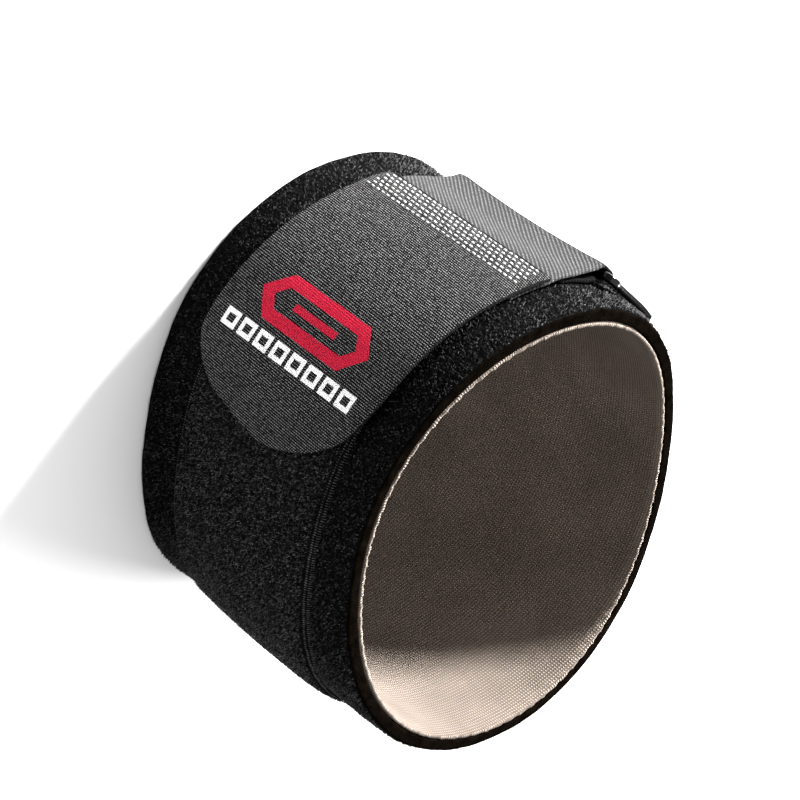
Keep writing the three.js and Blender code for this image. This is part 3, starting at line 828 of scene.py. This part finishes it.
def webbing(name, stops, thickness, bow, slots, materials, relief=0.04, pitch=1.1, slant=0.0):
    """Webbing through stops of plan point, middle height and width. It thins at its edges."""
    plan = np.array([[*stop[0], stop[1]] for stop in stops])
    coarse = np.linspace(0, 1, 1200)
    line = curve_through(plan, coarse)
    run = np.concatenate([[0], np.cumsum(np.linalg.norm(np.diff(line, axis=0), axis=1))])
    columns = int(run[-1] / pitch * 4)
    share = np.interp(np.linspace(0, run[-1], columns), run, coarse)
    spot = curve_through(plan, share)
    width = np.interp(share * (len(stops) - 1), np.arange(len(stops)), [stop[2] for stop in stops])
    way = unit(np.gradient(spot, axis=0)[:, :2])
    out = np.stack([way[:, 1], -way[:, 0]], axis=-1)
    distance = np.linspace(0, run[-1], columns)[:, None]
    rows = 36
    across = np.linspace(-0.5, 0.5, rows)[None]
    half = thickness / 2
    edge = (0.5 - np.abs(across)) * width[:, None]
    face = half - 0.25 * thickness * np.exp(-edge / 0.5)
    turns = (distance + slant * across * width[:, None]) / pitch
    face = face + relief * np.sin(2 * math.pi * turns) * np.minimum(1, edge)
    lift = np.concatenate([face, -face[:, ::-1]], axis=1)
    places = np.concatenate([across, across[:, ::-1]], axis=1)
    height = spot[:, 2:3] + places * width[:, None]
    plan_points = spot[:, None, :2] + out[:, None] * lift[..., None]
    if bow:
        face_out = buckle_plan(0.0, 1.0) - buckle_plan(0.0, 0.0)
        amount = bar_bow(height) * smooth_share((distance - 8) / 14) * smooth_share((run[-1] - 8 - distance) / 10)
        plan_points = plan_points + face_out * amount[..., None]
    rings = np.concatenate([plan_points, height[..., None]], axis=-1)
    uv_across = np.concatenate([places, places[:, :1]], axis=1) * width[:, None]
    uv = np.stack(np.broadcast_arrays(distance, uv_across), axis=-1)
    return loft(name, rings, uv, False, slots, materials, sharp=60)


TWILL_PITCH, TWILL_SLANT = 1.02, 0.72
# The elastic keeps its own grey as far as this along it. From there on it is painted black, as shade over its
# fold round the strap bar and its run beneath.
UNSHADED_LENGTH = 27.6


def elastic_cloth():
    free_length = TAB_ROOT - BUCKLE_APPROACH - (BUCKLE_ALONG + FRONT_REACH)
    stops = []
    for under, free, rise, width in ELASTIC_RUN:
        along = ELASTIC_END - under * UNDER_TAB - free * free_length
        stops.append((plan_at(along, elastic_lift(rise)), strap_middle(along), width * ELASTIC_WIDTH))
    over = STRAP_BAR["lift"] + STRAP_BAR["thickness"] / 2 + GAP + ELASTIC / 2
    points = [buckle_plan(FRONT_REACH + BAR_SHOULDER, over - BAR_SHOULDER)]
    points.append(buckle_plan(FRONT_REACH - BAR_LANDING, over - BAR_LANDING))
    points += list(turn_round(STRAP_BAR, ELASTIC, -1))
    under = 2 * STRAP_BAR["lift"] - over
    points.append(buckle_plan(STRAP_BAR["u"] + STRAP_BAR["width"] / 4, under - TURN_SAG))
    for share in (1, 0.5, 0):
        along = TAB_ROOT - ROOT_BEHIND_TAB - share * ROOT_LENGTH
        points.append(plan_at(along, ROOT_LIFT + ELASTIC / 2))
    stops += [(point, BUCKLE_MIDDLE, GATHERED_WIDTH) for point in points]
    finish = webbing_finish("elastic_weave", 0.022, 0.12, TWILL_PITCH, TWILL_SLANT, PICK_PITCH, UNSHADED_LENGTH)
    return webbing(
        "elastic_cloth", stops, ELASTIC, True, None, [finish],
        relief=0.02, pitch=TWILL_PITCH, slant=TWILL_SLANT,
    )


def keeper_cloth():
    sewn_end = BUCKLE_ALONG - BACK_REACH - KEEPER_REACH
    lower = GAP + KEEPER / 2
    upper = lower + KEEPER + GAP
    over = KEEPER_BAR["lift"] + KEEPER_BAR["thickness"] / 2 + GAP + KEEPER / 2
    under = 2 * KEEPER_BAR["lift"] - over
    points = [
        plan_at(sewn_end, upper),
        plan_at(sewn_end + KEEPER_SEWN, upper),
        plan_at(sewn_end + KEEPER_REACH - KEEPER_RISE, mix(upper, over, KEEPER_RISE_SHARE)),
        buckle_plan(-BACK_REACH - KEEPER_SHOULDER, over - KEEPER_SHOULDER_DROP),
        *turn_round(KEEPER_BAR, KEEPER, 1),
        buckle_plan(KEEPER_BAR["u"], under),
        plan_at(sewn_end + KEEPER_REACH - KEEPER_RETURN, lower),
        plan_at(sewn_end + KEEPER_SEWN, lower),
        plan_at(sewn_end, lower),
    ]
    stops = [(point, BUCKLE_MIDDLE, KEEPER_WIDTH) for point in points]
    finish = webbing_finish("keeper_weave", 0.0015, 0.014, 0.9, 0.35, 0.7)
    return webbing("keeper_cloth", stops, KEEPER, False, None, [finish], relief=0.03, pitch=0.9)


def buckle_frame():
    """The moulded frame, smooth, with the strap bar bowed in a little by the pull."""
    corner_steps, side_steps, sides = 14, 40, 28
    rail_half = WINDOW_HALF + RAIL_WIDTH / 2
    radius = CORNER_RADIUS - RAIL_WIDTH / 2
    line = []
    for turn, (bar, z) in enumerate((
        (STRAP_BAR, rail_half), (KEEPER_BAR, rail_half), (KEEPER_BAR, -rail_half), (STRAP_BAR, -rail_half),
    )):
        centre_u = bar["u"] - math.copysign(radius, bar["u"] - BUCKLE_CENTRE)
        centre_z = z - math.copysign(radius, z)
        angle = (turn + np.linspace(0, 1, corner_steps)) * math.pi / 2
        arc = np.stack([centre_u + radius * np.cos(angle), centre_z + radius * np.sin(angle)], axis=-1)
        if line:
            line.append(mix(line[-1][-1], arc[0], np.linspace(0, 1, side_steps)[1:-1, None]))
        line.append(arc)
    line.append(mix(line[-1][-1], line[0][0], np.linspace(0, 1, side_steps)[1:-1, None]))
    line = np.concatenate(line)
    before, after = np.roll(line, 1, axis=0), np.roll(line, -1, axis=0)
    side = unit(np.stack([after[:, 1] - before[:, 1], before[:, 0] - after[:, 0]], axis=-1))
    front = (line[:, 0] > BUCKLE_CENTRE)[:, None]
    share = smooth_share((WINDOW_HALF - np.abs(line[:, 1])) / (2 * RAIL_WIDTH))[:, None]

    def bar_size(key):
        return np.where(front, STRAP_BAR[key], KEEPER_BAR[key])

    half_width = mix(RAIL_WIDTH, bar_size("width"), share) / 2
    half_thickness = mix(RAIL_THICKNESS, bar_size("thickness"), share) / 2
    lift = mix(RAIL_LIFT, bar_size("lift"), share)
    angle = (np.arange(sides) + 0.5)[None] * 2 * math.pi / sides
    square = [np.sign(wave_) * np.abs(wave_) ** SECTION_POWER for wave_ in (np.cos(angle), np.sin(angle))]
    across = half_width * square[0]
    u = line[:, :1] + side[:, :1] * across
    z = BUCKLE_MIDDLE + line[:, 1:] + side[:, 1:] * across
    near_bar = smooth_share((line[:, :1] - BUCKLE_CENTRE) / (STRAP_BAR["u"] - BUCKLE_CENTRE))
    lift = lift + half_thickness * square[1] + near_bar * bar_bow(z)
    rings = np.concatenate([buckle_plan(u, lift), z[..., None]], axis=-1)
    uv = np.zeros((len(line) + 1, sides + 1, 2))
    return loft("buckle_frame", rings, uv, True, None, [plastic_finish()])


# Pile

def under_cover(along, height):
    """True where the band is hidden beneath the panel, the tab or the elastic."""
    panel = (along > PANEL_START) & (along < PANEL_START + PANEL_LENGTH)
    panel &= np.abs(height - panel_middle(along)) < PANEL_WIDTH / 2 - 0.6
    low, high = tab_edges(along)
    tab = (along > BUCKLE_ALONG + FRONT_REACH - 2) & (along < TAB_TIP)
    across = (height - strap_middle(along)) / TAB_WIDTH
    tab &= (across > low + 0.03) & (across < high - 0.03)
    return panel | tab


def scatter(count, along_range, height_range):
    return random.uniform(*along_range, count), random.uniform(*height_range, count)


def band_pile(name, along_range, count, finish):
    along, height = scatter(count, along_range, (0.7, 80))
    rim = rim_height(angle_along(along))
    kept = (height < rim - 0.55) & ~under_cover(along, height)
    along, height = along[kept], height[kept]
    base = on_band(along, height, np.zeros(len(along)))
    _, _, out = face_at(angle_along(along))
    normal = np.concatenate([out, np.zeros((len(out), 1))], axis=1)
    return tufts(name, base, normal, 0.5, 0.19, 0.4, finish)


def panel_pile(name, along_range, count, finish):
    along, across = scatter(count, along_range, (0.03, 0.97))
    low, high = tab_edges(along)
    height = panel_middle(along) + (across - 0.5) * PANEL_WIDTH
    tab_across = (height - strap_middle(along)) / TAB_WIDTH
    kept = (along > TAB_TIP) | (tab_across < low + 0.03) | (tab_across > high - 0.03)
    along, across = along[kept], across[kept]
    base = on_panel(along, across)
    _, _, out = face_at(angle_along(along))
    normal = np.concatenate([out, np.zeros((len(out), 1))], axis=1)
    return tufts(name, base, normal, 0.45, 0.2, 0.6, finish)


# Stitches

def outward(along):
    _, _, out = face_at(angle_along(along))
    return np.concatenate([out, np.zeros((len(out), 1))], axis=1)


STITCH_ROWS, STITCH_FIRST, STITCH_ROW_GAP, STITCH_LENGTH = 6, -40.9, 1.22, 1.2
OUTER_ROW_ALONG, OUTER_ROW_RISE = TAB_ROOT - 1.4, 0.57


def tab_stitches(finish):
    """Rows of stitches across the root of the tab, and a sparse one on the elastic beside it."""
    starts, ends, normals = [], [], []
    for row in range(STITCH_ROWS + 1):
        beside = row == STITCH_ROWS
        step = STITCH_LENGTH * (2.2 if beside else 1.3)
        places = np.arange(-TAB_WIDTH / 2 + 1.2 + step * 0.5 * (row % 2), TAB_WIDTH / 2 - 2.6, step)
        along = np.full(len(places), OUTER_ROW_ALONG if beside else STITCH_FIRST - row * STITCH_ROW_GAP)
        along = along + random.normal(0, 0.05, len(places))
        for bucket, more in ((starts, 0), (ends, STITCH_LENGTH)):
            if beside:
                height = strap_middle(along) + places + more
                lift = elastic_lift(OUTER_ROW_RISE) + ELASTIC / 2
                bucket.append(on_face(along, height, np.full(len(along), lift)))
            else:
                bucket.append(on_tab(along, places + more, -0.02))
        normals.append(outward(along))
    parts = (np.concatenate(part) for part in (starts, ends, normals))
    return threads("tab_stitches", *parts, 0.19, 0.1, finish)


SERGE_PITCH, SERGE_IN, SERGE_OUT = 0.62, 0.9, 0.55


def panel_serging(finish):
    """Short threads that lap the panel's long edges down on the band."""
    along = np.arange(PANEL_START + 0.5, PANEL_START + PANEL_LENGTH, SERGE_PITCH)
    starts, ends = [], []
    for edge, side in ((0, -1), (1, 1)):
        inside = np.full(len(along), edge - side * SERGE_IN / PANEL_WIDTH)
        starts.append(on_panel(along, inside, 0.05))
        height = panel_middle(along) + side * (PANEL_WIDTH / 2 + SERGE_OUT)
        ends.append(on_band(along + 0.25, height, np.full(len(along), 0.05)))
    normals = np.concatenate([outward(along), outward(along)])
    return threads("panel_serging", np.concatenate(starts), np.concatenate(ends), normals, 0.13, 0.12, finish)


def end_serging(finish):
    """The same threads over the panel's two ends."""
    starts, ends, normals = [], [], []
    across = np.arange(0.03, 0.97, SERGE_PITCH / PANEL_WIDTH)
    for end, side in ((PANEL_START, -1), (PANEL_START + PANEL_LENGTH, 1)):
        inside = np.full(len(across), end - side * SERGE_IN)
        outside = np.full(len(across), end + side * SERGE_OUT)
        starts.append(on_panel(inside, across, 0.05))
        height = panel_middle(outside) + (across - 0.5) * PANEL_WIDTH
        ends.append(on_band(outside, height, np.full(len(across), 0.05)))
        normals.append(outward(outside))
    parts = (np.concatenate(part) for part in (starts, ends, normals))
    return threads("end_serging", *parts, 0.13, 0.12, finish)


SEAM_ALONG, SEAM_WIDTH, SEAM_PITCH = -140.0, 3.2, 1.5


def back_seam(finish):
    """The zigzag seam that closes the band into a ring, at the back."""
    top = float(rim_height(angle_along(np.array(SEAM_ALONG))))
    height = np.arange(1.0, top - 1.6, SEAM_PITCH / 2)
    turn = np.where(np.arange(len(height)) % 2 == 0, -1, 1) * SEAM_WIDTH / 2
    from_along = SEAM_ALONG + turn
    to_along = SEAM_ALONG - turn
    lift = np.full(len(height), 0.12)
    starts = on_band(from_along, height, lift)
    ends = on_band(to_along, height + SEAM_PITCH / 2, lift)
    return threads("back_seam", starts, ends, outward(from_along), 0.2, 0.2, finish)


def keeper_stitches(finish):
    """A sewn box with a cross, which holds the keeper's end."""
    end = BUCKLE_ALONG - BACK_REACH - KEEPER_REACH
    lift = GAP + KEEPER + GAP + KEEPER
    low, high = end + 1.2, end + KEEPER_SEWN - 0.8
    half = KEEPER_WIDTH / 2 - 1.5
    corners = [(low, -half), (low, half), (high, half), (high, -half)]
    lines = [(corners[i], corners[(i + 1) % 4]) for i in range(4)]
    lines += [(corners[0], corners[2]), (corners[1], corners[3])]
    starts, ends, normals = [], [], []
    for (a0, z0), (a1, z1) in lines:
        count = max(2, int(math.hypot(a1 - a0, z1 - z0) / 2.2))
        share = np.arange(count) / count
        for bucket, more in ((starts, 0.06), (ends, 0.8)):
            at = share + more / count
            along = mix(a0, a1, at)
            bucket.append(on_face(along, BUCKLE_MIDDLE + mix(z0, z1, at), np.full(count, lift)))
        normals.append(outward(mix(a0, a1, share)))
    parts = (np.concatenate(part) for part in (starts, ends, normals))
    return threads("keeper_stitches", *parts, 0.14, 0.08, finish)


# Studio

def camera():
    data = bpy.data.cameras.new("camera")
    data.sensor_width = SENSOR
    data.lens = SENSOR * FOCAL_SHARE
    data.clip_start = 0.01
    eye = bpy.data.objects.new("camera", data)
    bpy.context.collection.objects.link(eye)
    right, down = Vector(CAMERA_RIGHT), Vector(CAMERA_DOWN)
    up, back = -down, right.cross(-down)
    turn = Matrix((right, up, back)).transposed().to_4x4()
    place = (np.array(CAMERA_PLACE) + SHIFT) * MILLIMETRE
    eye.matrix_world = Matrix.Translation(Vector(place)) @ turn
    bpy.context.scene.camera = eye


def hang_light(data, place, target):
    lamp = bpy.data.objects.new(data.name, data)
    bpy.context.collection.objects.link(lamp)
    lamp.location = place
    lamp.rotation_euler = (Vector(target) - Vector(place)).to_track_quat("-Z", "Y").to_euler()


def soft_light(name, place, size, power, target=(0, 0, 0.035)):
    data = bpy.data.lights.new(name, "AREA")
    data.shape = "DISK"
    data.size = size
    data.energy = power
    hang_light(data, place, target)


def narrow_light(name, place, size, power, target=(0, 0, 0.04), cone=15):
    """A spotlight that hardly touches the floor, so that less light comes back from it."""
    data = bpy.data.lights.new(name, "SPOT")
    data.shadow_soft_size = size
    data.spot_size = cone * DEGREE
    data.spot_blend = 0.5
    data.energy = power
    hang_light(data, place, target)


def studio():
    bpy.ops.mesh.primitive_circle_add(vertices=128, radius=4, fill_type="NGON")
    floor = bpy.context.object
    floor.name = "floor"
    floor.data.materials.append(floor_finish())
    narrow_light("key", (-1.0, 0.13, 0.36), 0.2, 1000)
    soft_light("above", (0, 0, 1.6), 2.5, 28, target=(0, 0, 0))
    soft_light("rim", (-0.55, 0.9, 0.33), 0.5, 16)
    soft_light("back", (-0.14, 0.76, 0.715), 0.24, 8)
    world = bpy.data.worlds.new("studio")
    world.use_nodes = True
    world.node_tree.nodes["Background"].inputs["Color"].default_value = (1, 1, 1, 1)
    world.node_tree.nodes["Background"].inputs["Strength"].default_value = 0.4
    bpy.context.scene.world = world
    bpy.context.scene.view_settings.view_transform = "Standard"


# The whole strap

camera()
studio()

pale_thread = thread_finish("pale_thread", 0.25, 0.75)
grey_thread = thread_finish("grey_thread", 0.012, 0.1)
black_thread = thread_finish("black_thread", 0.002, 0.018)
band_tufts = tuft_finish("pile_tufts", 0.001, 0.14, 2.5)
panel_tufts = tuft_finish("loop_tufts", 0.0015, 0.2, 2.0)

band = foam_band()
lining = lining_cloth()
panel = panel_cloth()
tab = tab_cloth()
elastic = elastic_cloth()
buckle = buckle_frame()
keeper = keeper_cloth()

pieces = {
    "neoprene_band": [band],
    "inner_lining": [lining],
    "loop_panel": [panel],
    "hook_tab": [tab],
    "elastic_strap": [elastic],
    "buckle": [buckle],
    "buckle_keeper": [keeper],
}
pieces["neoprene_band"] += [
    band_pile("front_pile", (-100, 60), 46000, band_tufts),
    band_pile("back_pile", (WALK_ALONGS[0], -100), 22000, band_tufts),
    band_pile("far_pile", (60, WALK_ALONGS[-1]), 46000, band_tufts),
    back_seam(black_thread),
]
pieces["loop_panel"] += [
    panel_pile("panel_pile", (PANEL_START, PANEL_START + PANEL_LENGTH), 46000, panel_tufts),
    panel_serging(grey_thread),
    end_serging(grey_thread),
]
pieces["hook_tab"].append(tab_stitches(pale_thread))
pieces["buckle_keeper"].append(keeper_stitches(black_thread))

for node, parts in pieces.items():
    for part in parts:
        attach(part, "root")
    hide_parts(node)
